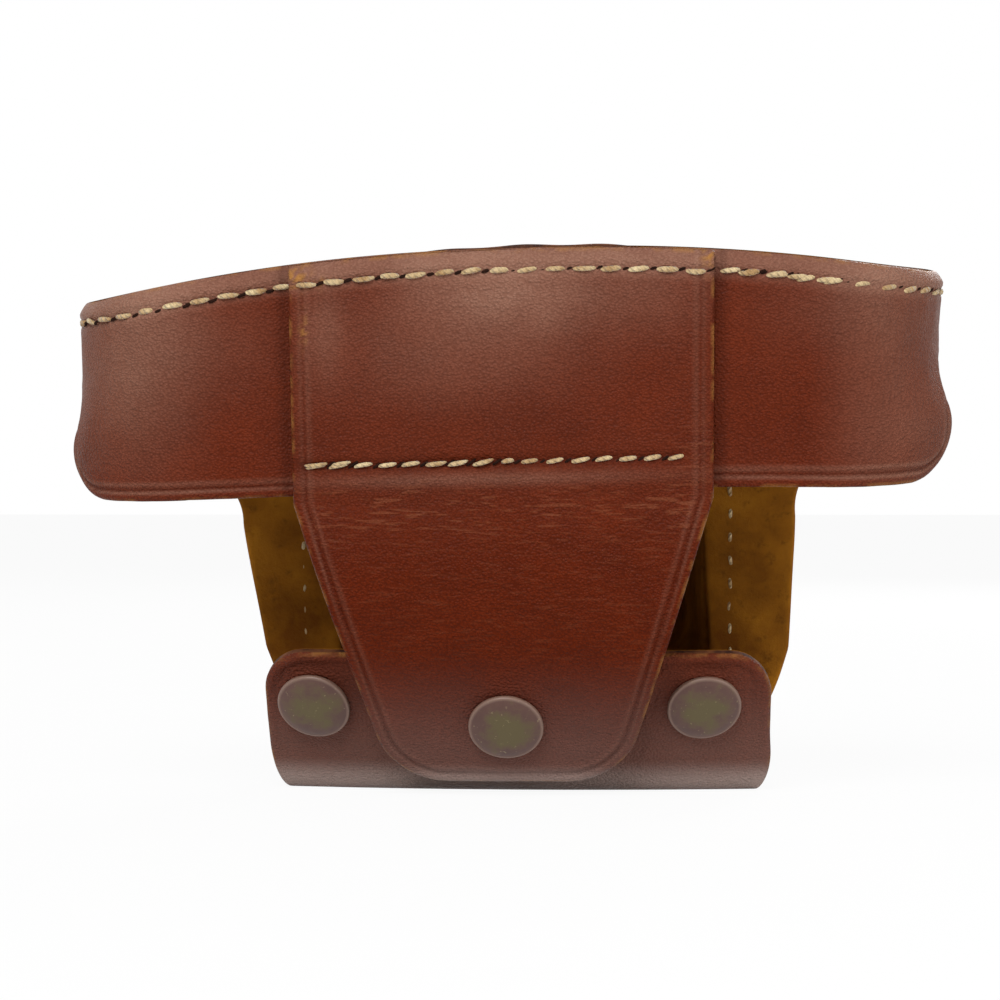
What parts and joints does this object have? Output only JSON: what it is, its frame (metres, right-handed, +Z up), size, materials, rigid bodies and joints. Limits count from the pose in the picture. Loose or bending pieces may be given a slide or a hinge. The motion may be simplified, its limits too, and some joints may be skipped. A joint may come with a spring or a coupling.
{
  "type": "camera case cover",
  "caption": "Leather camera case cover: a hood with a moulded nose and a back band, a closing strap and a base flap held by snap fasteners.",
  "frame": {"origin": "middle of the flat face under the base flap, on the surface that the case stands on", "axes": "+X along the case, with the strap facing the viewer it points right; -Y is the way the back band and strap face, +Y the nose; +Z up"},
  "size_m": [0.1521, 0.1029, 0.1002],
  "materials": {
    "leather": "satin, fine grain, chestnut brown",
    "thread": "waxed linen, cream",
    "painted_brass": "brown paint worn to dull brass",
    "brass": "dull",
    "spring_wire": "satin"
  },
  "bodies": {
    "cover": {"back_band": "leather", "front_panel": "leather", "top_panel": "leather", "nose": "leather", "strap_root": "leather", "top_seam_thread": "thread", "cross_seam_thread": "thread", "nose_seam_thread": "thread"},
    "strap": {"closing_strap": "leather", "strap_snap_cap": "painted_brass", "strap_snap_socket": "brass", "strap_snap_spring": "spring_wire"},
    "flap": {"base_flap": "leather", "base_stud": "brass", "stud_eyelet": "brass", "left_snap_cap": "painted_brass", "left_snap_socket": "brass", "left_snap_spring": "spring_wire", "right_snap_cap": "painted_brass", "right_snap_socket": "brass", "right_snap_spring": "spring_wire"}
  },
  "joints": [
    {"name": "strap_bend", "type": "hinge", "parent": "cover", "child": "strap", "pos_m": [0, -0.03915, 0.05204], "axis": [-1, 0, 0], "range_deg": [0, 150]},
    {"name": "front_fold", "type": "hinge", "parent": "cover", "child": "flap", "pos_m": [0, 0.014, 0.0011], "axis": [1, 0, 0], "range_deg": [0, 90]}
  ],
  "couplings": [
    {"joint": "front_fold", "follows": "strap_bend", "ratio": 0.6}
  ]
}
